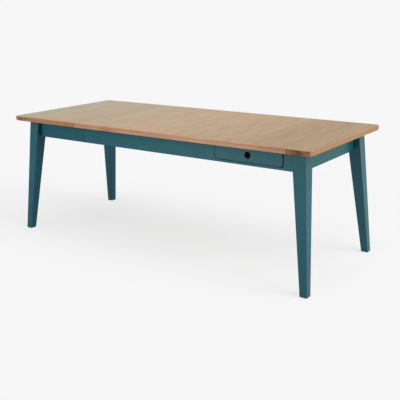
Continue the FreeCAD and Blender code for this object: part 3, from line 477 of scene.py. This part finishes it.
def painted(name, turn, specular, paint, thin_paint, tones):
    """Paint whose grain lines lie along the piece; the tones are added to its colour."""
    made, tree, shader = finish(name, PAINT_ROUGHNESS, specular)
    coords = add(tree, "TexCoord").outputs
    grain = add(tree, "Mapping", {"Vector": coords["Object"], "Rotation": turn}).outputs[0]
    group = add(tree, "Group", node_tree=coat)
    tree.links.new(grain, group.inputs["Vector"])
    group.inputs["Paint"].default_value = paint
    group.inputs["Thin Paint"].default_value = thin_paint
    tree.links.new(toned(tree, group.outputs["Color"], tones, "ADD"), shader.inputs["Base Color"])
    tree.links.new(work(tree, "ADD", group.outputs["Roughness"], SMOOTHEST_PAINT), shader.inputs["Roughness"])
    bump(tree, shader, group.outputs["Height"], PAINT_BUMP, PAINT_RELIEF)
    return made


# Painted light: the long aprons get lighter towards the right, and a red tone there paints their pale sheen.
LONG_APRON_LIGHT_AND_SHEEN = [("X", -0.9, 0.0, (0.021, 0.043, 0.042, 1)), ("X", 0.0, 0.5, (0.018, 0.004, 0.002, 1))]
# Painted reflection: the end aprons are warmer near the top, for the oak above, and bluer lower down.
END_APRON_REFLECTION = [("Z", 0.655, 0.69, (0.022, 0.004, 0.0, 1)), ("Z", 0.69, 0.655, (0.0, 0.004, 0.018, 1))]
# Painted shade: the legs get darker towards the floor.
RIGHT_LEG_SHADE = [("Z", 0.03, 0.42, (0.001, 0.019, 0.022, 1))]
LEFT_LEG_SHADE = [("Z", 0.03, 0.42, (0.002, 0.026, 0.029, 1))]
teal_long = painted("teal paint on long aprons", GRAIN_X, 0.06, (0.024, 0.132, 0.171, 1),
                    (0.028, 0.145, 0.187, 1), LONG_APRON_LIGHT_AND_SHEEN)
teal_ends = painted("teal paint on end aprons", GRAIN_Y, 0.22, (0.0, 0.120, 0.120, 1),
                    (0.004, 0.134, 0.136, 1), END_APRON_REFLECTION)
# The left and right legs have copies of one paint, each set for the light that its legs get.
teal_right_legs = painted("teal paint on right legs", GRAIN_Z, 0.30, (0.003, 0.081, 0.104, 1),
                          (0.008, 0.094, 0.119, 1), RIGHT_LEG_SHADE)
teal_left_legs = painted("teal paint on left legs", GRAIN_Z, 0.20, (0.003, 0.085, 0.115, 1),
                         (0.008, 0.097, 0.131, 1), LEFT_LEG_SHADE)
print("finishes so far:", len(bpy.data.materials))

# %% [markdown]
# ## Metal and plastic
# The corner plates, brackets, bolts and screws are zinc-plated steel, whose plating has a fine crystal
# pattern. The leaf's hinges are brass with a little tarnish, and the glides under the feet are black
# plastic, scuffed grey by the floor. Each could have its own nodes, but all three are a clean and a dull
# colour in small flakes and larger patches, so one group gives them their mottling.

# %% Mottled group
PATCH_SCALE = 60.0

mottle, given, out = new_group(
    "mottled surface",
    [("Vector", "Vector", None), ("Scale", "Float", 200.0), ("Clean", "Color", None),
     ("Dull", "Color", None)],
    [("Color", "Color"), ("Mask", "Float")])
flakes = add(mottle, "TexVoronoi", {"Vector": given["Vector"], "Scale": given["Scale"]}).outputs["Color"]
flake = add(mottle, "SeparateColor", {0: flakes}).outputs["Red"]
patch = ramp(mottle, noise(mottle, given["Vector"], PATCH_SCALE, 3.0), 0.4, 0.75, 0.0, 0.55)
mask = work(mottle, "MULTIPLY_ADD", flake, 0.45, patch, clamp=True)
mottle.links.new(mix(mottle, mask, given["Clean"], given["Dull"]), out["Color"])
mottle.links.new(mask, out["Mask"])
print("mottled group:", len(mottle.nodes), "nodes")

# %% Steel, brass and plastic
MOTTLE_BUMP = 0.15
MOTTLE_RELIEF = 0.0001


def mottled(name, scale, clean, dull, metallic, smooth, rough):
    """Finish that goes from clean and smooth to dull and rough in flakes and patches."""
    made, tree, shader = finish(name, smooth, metallic=metallic)
    group = add(tree, "Group", node_tree=mottle)
    tree.links.new(add(tree, "TexCoord").outputs["Object"], group.inputs["Vector"])
    group.inputs["Scale"].default_value = scale
    group.inputs["Clean"].default_value = clean
    group.inputs["Dull"].default_value = dull
    tree.links.new(group.outputs["Color"], shader.inputs["Base Color"])
    tree.links.new(ramp(tree, group.outputs["Mask"], 0.0, 1.0, smooth, rough), shader.inputs["Roughness"])
    bump(tree, shader, group.outputs["Mask"], MOTTLE_BUMP, MOTTLE_RELIEF)
    return made


zinc = mottled("zinc plating", 260.0, (0.60, 0.62, 0.63, 1), (0.46, 0.47, 0.47, 1), 1.0, 0.28, 0.48)
brass = mottled("brass", 400.0, (0.72, 0.52, 0.22, 1), (0.45, 0.30, 0.12, 1), 1.0, 0.25, 0.5)
glide_plastic = mottled("glide plastic", 700.0, (0.025, 0.025, 0.026, 1), (0.06, 0.06, 0.06, 1),
                        0.0, 0.45, 0.65)
print("finishes in all:", len(bpy.data.materials))

# %% [markdown]
# ## Giving each piece its finish
# The record names a material slot for every node. Most slots have one finish, and it could be set slot by
# slot alone. But the direction of the grain and some tones depend on the piece, so those pieces are listed
# by name.

# %% Assign the finishes
BY_SLOT = {"oak_panel": oak_panel, "oak_lipping": main_lipping_oak, "oak_end_board": right_end_oak,
           "teal_paint": teal_long, "beech": beech_along, "drawer_board": drawer_board_y, "steel": zinc,
           "brass": brass, "glide_plastic": glide_plastic}
BY_NODE = {left_lipping_oak: ["left_front_lipping", "left_back_lipping"], left_end_oak: ["left_end_board"],
           teal_left_legs: ["left_front_leg", "left_back_leg"],
           teal_right_legs: ["right_front_leg", "right_back_leg"],
           teal_ends: ["left_end_apron", "right_end_apron"],
           beech_across: ["middle_bearer", "left_bearer", "open_end_stretcher", "leaf_carriers",
                          "left_board_tongue", "right_board_tongue"],
           beech_runners: ["left_drawer_runner", "right_drawer_runner", "drawer_kickers"],
           drawer_board_x: ["drawer_back", "drawer_bottom"]}
finish_of = {name: made for made, names in BY_NODE.items() for name in names}
for subpart in frame["record"]["subparts"]:
    chosen = finish_of.get(subpart["node"], BY_SLOT[subpart["material_slot"]])
    for slot in nodes[subpart["node"]].material_slots:
        slot.material = chosen

# %% [markdown]
# ## Modelling by hand
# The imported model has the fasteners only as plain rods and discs, so those that show from below or when
# the table is open are modelled again. Each is made once at the origin, from a primitive that is inset,
# extruded and bevelled. An operator acts on all that is selected, so the first helpers clear the
# selection, pick faces by the way they look, and cut a slot with a block that is thrown away.

# %% Shaping helpers
LEVEL = 0.99
SAME_HEIGHT = 1e-5


def start_piece():
    """Nothing selected, so that the next operator acts on its own new primitive alone."""
    bpy.ops.object.select_all(action="DESELECT")


def pick_faces(z, up):
    """In edit mode, select only the level faces at a height, those that look up or those that look down."""
    bpy.ops.mesh.select_mode(type="FACE")
    bpy.ops.mesh.select_all(action="DESELECT")
    shape = bmesh.from_edit_mesh(bpy.context.object.data)
    for face in shape.faces:
        level = face.normal.z > LEVEL if up else face.normal.z < -LEVEL
        face.select_set(level and abs(face.calc_center_median().z - z) < SAME_HEIGHT)
    bmesh.update_edit_mesh(bpy.context.object.data)


def cut_slot(piece, size, spot, turn):
    """Cut a straight slot with a thin block, as a screwdriver's blade fits it."""
    start_piece()
    bpy.ops.mesh.primitive_cube_add(size=1.0, location=spot, rotation=(0, 0, turn), scale=size)
    blade = bpy.context.object
    bpy.context.view_layer.objects.active = piece
    slot = piece.modifiers.new("slot", "BOOLEAN")
    slot.operation = "DIFFERENCE"
    slot.object = blade
    bpy.ops.object.modifier_apply(modifier=slot.name)
    bpy.data.objects.remove(blade)


# %% [markdown]
# ## Finding the places
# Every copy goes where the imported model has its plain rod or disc. The places could be typed in, but then
# they would stay behind if the table changed. So a node's mesh is split into its separate solids, and the
# box of each solid gives a place.

# %% Helpers for places and copies
SAME_POINT = 1e-6
SMOOTH_ANGLE = math.radians(35)


def points_box(points):
    """Lowest and highest corner of a list of points."""
    low = Vector(min(point[axis] for point in points) for axis in range(3))
    high = Vector(max(point[axis] for point in points) for axis in range(3))
    return low, high


def solids_of(node):
    """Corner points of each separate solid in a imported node, in the order of their lowest corners."""
    shape = bmesh.new()
    shape.from_mesh(nodes[node].data)
    bmesh.ops.remove_doubles(shape, verts=shape.verts, dist=SAME_POINT)
    left = set(shape.verts)
    solids = []
    while left:
        reached = [left.pop()]
        for corner in reached:
            near = {edge.other_vert(corner) for edge in corner.link_edges} & left
            reached.extend(near)
            left -= near
        solids.append([corner.co.copy() for corner in reached])
    shape.free()
    return sorted(solids, key=lambda points: tuple(round(v, 4) for v in points_box(points)[0]))


def lay_out(name, model, places, material, body, node=None):
    """Copies of a model at the given places, joined to one piece that rides on a body.

    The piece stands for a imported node, if one is named.
    """
    start_piece()
    for place in places:
        copy = bpy.data.objects.new(name, model.data.copy())
        copy.data.transform(place)
        scene.collection.objects.link(copy)
        copy.select_set(True)
        bpy.context.view_layer.objects.active = copy
    bpy.ops.object.join()
    piece = bpy.context.object
    piece.name = name
    bpy.ops.object.shade_smooth_by_angle(angle=SMOOTH_ANGLE)
    piece.data.materials.clear()
    piece.data.materials.append(material)
    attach(piece, body)
    if node:
        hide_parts(node)
    print(name, "has", len(places), "copies and", len(piece.data.polygons), "faces")


# %% [markdown]
# ## Bracket screws
# Small steel brackets hold the top down, each with one screw up into the top and one sideways into an end
# apron or a bearer. They are pan-head screws with a cross recess. The outline could be spun, but a disc
# needs fewer steps: its lower rim is bevelled to a dome, the shank is extruded from its upper face and
# drawn to a point, and two slots make the cross.

# %% Pan-head screw
SCREW_SIDES = 20
SCREW_HEAD = 0.004
SCREW_HEAD_HEIGHT = 0.0024
SCREW_DOME = 0.0015
SCREW_SHANK = 0.002
SCREW_STRAIGHT = 0.008
SCREW_TIP = 0.003
SCREW_TIP_SHARE = 0.12
RECESS = (0.0042, 0.0009, 0.0026)

start_piece()
bpy.ops.mesh.primitive_cylinder_add(vertices=SCREW_SIDES, radius=SCREW_HEAD, depth=SCREW_HEAD_HEIGHT,
                                    location=(0, 0, -SCREW_HEAD_HEIGHT / 2))
pan_screw = bpy.context.object
bpy.ops.object.transform_apply(location=True, rotation=False, scale=False)
bpy.ops.object.mode_set(mode="EDIT")
pick_faces(0.0, up=True)
bpy.ops.mesh.inset(thickness=SCREW_HEAD - SCREW_SHANK)
bpy.ops.mesh.extrude_region_move(TRANSFORM_OT_translate={"value": (0, 0, SCREW_STRAIGHT)})
bpy.ops.mesh.extrude_region_move(TRANSFORM_OT_translate={"value": (0, 0, SCREW_TIP)})
bpy.ops.transform.resize(value=(SCREW_TIP_SHARE, SCREW_TIP_SHARE, 1.0),
                         center_override=(0, 0, SCREW_STRAIGHT + SCREW_TIP))
pick_faces(-SCREW_HEAD_HEIGHT, up=False)
bpy.ops.mesh.region_to_loop()
bpy.ops.mesh.bevel(offset=SCREW_DOME, segments=4, affect="EDGES")
bpy.ops.object.mode_set(mode="OBJECT")
for turn in (0.0, math.radians(90)):
    cut_slot(pan_screw, RECESS, (0, 0, -SCREW_HEAD_HEIGHT), turn)
print("screw:", len(pan_screw.data.polygons), "faces")

# %% [markdown]
# ## Bracket screws in place
# A packed screw is a rod with a wider head, and it may lie along any axis. Its longest side gives the
# axis, and the points far from that axis show at which end the head is. Each copy is turned a little
# further than the one before, as no two screws stop at the same turn.

# %% Bracket screws in place
HEAD_SHARE = 0.75
SCREW_TURN = math.radians(37)


def screw_place(points, number):
    """Where a packed screw sits: under its head, with the Z axis towards its tip."""
    low, high = points_box(points)
    middle = (low + high) / 2
    axis = max(range(3), key=lambda k: high[k] - low[k])
    others = [k for k in range(3) if k != axis]
    head = [point[axis] for point in points
            if math.hypot(*(point[k] - middle[k] for k in others)) > HEAD_SHARE * SCREW_HEAD]
    head_low = sum(head) / len(head) < middle[axis]
    seat = middle.copy()
    seat[axis] = low[axis] + SCREW_HEAD_HEIGHT if head_low else high[axis] - SCREW_HEAD_HEIGHT
    towards = Vector((0, 0, 0))
    towards[axis] = 1.0 if head_low else -1.0
    aim = Vector((0, 0, 1)).rotation_difference(towards).to_matrix().to_4x4()
    return Matrix.Translation(seat) @ aim @ Matrix.Rotation(number * SCREW_TURN, 4, "Z")


for name, body in (("main", "fixed_frame"), ("left", "sliding_end")):
    node = name + "_top_screws"
    screws = [screw_place(points, number) for number, points in enumerate(solids_of(node))]
    lay_out(name + "_bracket_screws", pan_screw, screws, zinc, body, node)
bpy.data.objects.remove(pan_screw)

# %% [markdown]
# ## Foot glides
# Under each foot is a nailed plastic glide. Its lower rim is rounded so that it slides, and the nail's
# head lies in a shallow dish in the middle. The nail could be a piece of its own, but it never moves in
# the glide. So the disc is bevelled, and insets with small moves make the dish and the nail in one mesh.

# %% Foot glides
GLIDE_SIDES = 40
GLIDE_RADIUS = 0.013
GLIDE_HEIGHT = 0.002
GLIDE_ROUNDING = 0.0009
GLIDE_RIM = 0.004
DISH_SLOPE = 0.0012
DISH_DEPTH = 0.0009
DISH_FLOOR = 0.002
NAIL_SLOPE = 0.0006
NAIL_RISE = 0.0005

start_piece()
bpy.ops.mesh.primitive_cylinder_add(vertices=GLIDE_SIDES, radius=GLIDE_RADIUS, depth=GLIDE_HEIGHT,
                                    location=(0, 0, GLIDE_HEIGHT / 2))
glide = bpy.context.object
bpy.ops.object.transform_apply(location=True, rotation=False, scale=False)
bpy.ops.object.mode_set(mode="EDIT")
pick_faces(0.0, up=False)
bpy.ops.mesh.region_to_loop()
bpy.ops.mesh.bevel(offset=GLIDE_ROUNDING, segments=4, affect="EDGES")
pick_faces(0.0, up=False)
bpy.ops.mesh.inset(thickness=GLIDE_RIM)
bpy.ops.mesh.inset(thickness=DISH_SLOPE)
bpy.ops.transform.translate(value=(0, 0, DISH_DEPTH))
bpy.ops.mesh.inset(thickness=DISH_FLOOR)
bpy.ops.mesh.inset(thickness=NAIL_SLOPE)
bpy.ops.transform.translate(value=(0, 0, -NAIL_RISE))
bpy.ops.object.mode_set(mode="OBJECT")

for side, body in (("right", "fixed_frame"), ("left", "sliding_end")):
    node = side + "_foot_glides"
    feet = []
    for points in solids_of(node):
        low, high = points_box(points)
        feet.append(Matrix.Translation(((low.x + high.x) / 2, (low.y + high.y) / 2, low.z)))
    lay_out(side + "_nailed_glides", glide, feet, glide_plastic, body, node)
bpy.data.objects.remove(glide)

# %% [markdown]
# ## Hinge screws
# The two halves of the leaf are joined by brass butt hinges let into its front edge. Each plate is held by
# three countersunk screws with a single slot, which show when the table is pulled open. Only the heads can
# be seen, so each is a short disc with an eased rim, sunk in the plate.

# %% Slotted screw
HINGE_SCREW_SIDES = 20
HINGE_SCREW_HEAD = 0.0028
HINGE_SCREW_HEIGHT = 0.0012
HINGE_SCREW_PROUD = 0.0004
HINGE_SCREW_ROUNDING = 0.00035
HINGE_SLOT = (0.007, 0.0008, 0.0009)

start_piece()
bpy.ops.mesh.primitive_cylinder_add(vertices=HINGE_SCREW_SIDES, radius=HINGE_SCREW_HEAD,
                                    depth=HINGE_SCREW_HEIGHT,
                                    location=(0, 0, HINGE_SCREW_PROUD - HINGE_SCREW_HEIGHT / 2))
slotted_screw = bpy.context.object
bpy.ops.object.transform_apply(location=True, rotation=False, scale=False)
bpy.ops.object.mode_set(mode="EDIT")
pick_faces(HINGE_SCREW_PROUD, up=True)
bpy.ops.mesh.region_to_loop()
bpy.ops.mesh.bevel(offset=HINGE_SCREW_ROUNDING, segments=3, affect="EDGES")
bpy.ops.object.mode_set(mode="OBJECT")
cut_slot(slotted_screw, HINGE_SLOT, (0, 0, HINGE_SCREW_PROUD), 0.0)
print("slotted screw:", len(slotted_screw.data.polygons), "faces")

# %% [markdown]
# ## Hinge screws in place
# A hinge has one plate above its pin and one below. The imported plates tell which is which, and the screws
# lie in a row near the plate's free edge, at even shares of its length. They look forwards, as the plates
# do.

# %% Hinge screws in place
HINGE_PLATE = 0.002
HINGE_SCREW_INSET = 0.006
HINGE_SCREW_SHARES = (0.17, 0.5, 0.83)
HINGE_SCREW_TURN = math.radians(53)

look_forward = Matrix.Rotation(math.radians(90), 4, "X")
plate_screws = []
leaf_line = sum(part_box("leaf_hinge_pins")[k].z for k in (0, 1)) / 2
for points in solids_of("leaf_hinges"):
    low, high = points_box(points)
    below = leaf_line - low.z > high.z - leaf_line
    z = low.z + HINGE_SCREW_INSET if below else high.z - HINGE_SCREW_INSET
    for share in HINGE_SCREW_SHARES:
        place = Matrix.Translation((low.x + share * (high.x - low.x), high.y - HINGE_PLATE, z))
        turn = Matrix.Rotation(len(plate_screws) * HINGE_SCREW_TURN, 4, "Z")
        plate_screws.append(place @ look_forward @ turn)
lay_out("leaf_hinge_screws", slotted_screw, plate_screws, brass, "sliding_end")
bpy.data.objects.remove(slotted_screw)

# %% [markdown]
# ## Floor
# The photograph has a plain pale ground with a faint shadow between the legs. A bright lamp on a white
# floor would wash out the table, so the floor is a wide disc that shines a little by itself. Seen by the
# camera or in a reflection, most of it is a steady pale grey, and the rest takes the light and the shadow.

# %% Floor
GROUND = (0.930, 0.930, 0.930, 1)
DULL_GROUND = (0.48, 0.48, 0.48, 1)
STEADY_SHARE = 0.78
FLOOR_SIDES = 96
FLOOR_RADIUS = 200.0


def seen_directly(tree):
    """1 for rays that show a surface to the eye: from the camera, or by way of a reflection or glass."""
    ray = add(tree, "LightPath").outputs
    mirror = work(tree, "MAXIMUM", ray["Is Glossy Ray"], ray["Is Transmission Ray"])
    return work(tree, "MAXIMUM", ray["Is Camera Ray"], mirror)


start_piece()
bpy.ops.mesh.primitive_circle_add(vertices=FLOOR_SIDES, radius=FLOOR_RADIUS, fill_type="NGON",
                                  location=(0, 0, 0))
floor = bpy.context.object
floor.name = "floor"
ground = bpy.data.materials.new("ground")
ground.use_nodes = True
tree = ground.node_tree
tree.nodes.remove(tree.nodes["Principled BSDF"])
direct = seen_directly(tree)
shaded = add(tree, "BsdfDiffuse", {"Color": mix(tree, direct, DULL_GROUND, GROUND)}).outputs[0]
steady = add(tree, "Emission", {"Color": GROUND, "Strength": 1.0}).outputs[0]
steady_share = work(tree, "MULTIPLY", direct, STEADY_SHARE)
both = add(tree, "MixShader", {0: steady_share, 1: shaded, 2: steady}).outputs[0]
tree.links.new(both, tree.nodes["Material Output"].inputs["Surface"])
floor.data.materials.append(ground)
print("floor of radius", FLOOR_RADIUS)

# %% [markdown]
# ## Light
# The table stands in even studio light, brighter on the right. Area lamps could give it, but they fall off
# over a table this long. So three suns as soft as big studio lamps are used: the key from above, one from
# the right, where the photograph's brighter sides are, and a low one from the front left. A pale sky fills
# in.

# %% Light
SKY = 0.15
SUNS = {
    # name: (turn from +X towards +Y, height above the floor, spread, irradiance), angles in degrees
    "key": (-25.0, 72.0, 60.0, 1.52),
    "side": (4.0, 28.0, 40.0, 1.98),
    "front": (-112.0, 8.0, 50.0, 1.50),
}
for name, (turn, lift, spread, power) in SUNS.items():
    lamp = bpy.data.lights.new(name, "SUN")
    lamp.energy = power
    lamp.angle = math.radians(spread)
    sun = bpy.data.objects.new(name, lamp)
    scene.collection.objects.link(sun)
    level = math.cos(math.radians(lift))
    towards = Vector((level * math.cos(math.radians(turn)), level * math.sin(math.radians(turn)),
                      math.sin(math.radians(lift))))
    sun.rotation_euler = towards.to_track_quat("Z", "Y").to_euler()
    print(name, "sun lights a level surface by", round(power * towards.z / math.pi, 3))

world = bpy.data.worlds.new("studio")
scene.world = world
world.use_nodes = True
tree = world.node_tree
sky = tree.nodes["Background"]
sky.inputs["Color"].default_value = (1, 1, 1, 1)
tree.links.new(ramp(tree, seen_directly(tree), 0.0, 1.0, SKY, GROUND[0]), sky.inputs["Strength"])
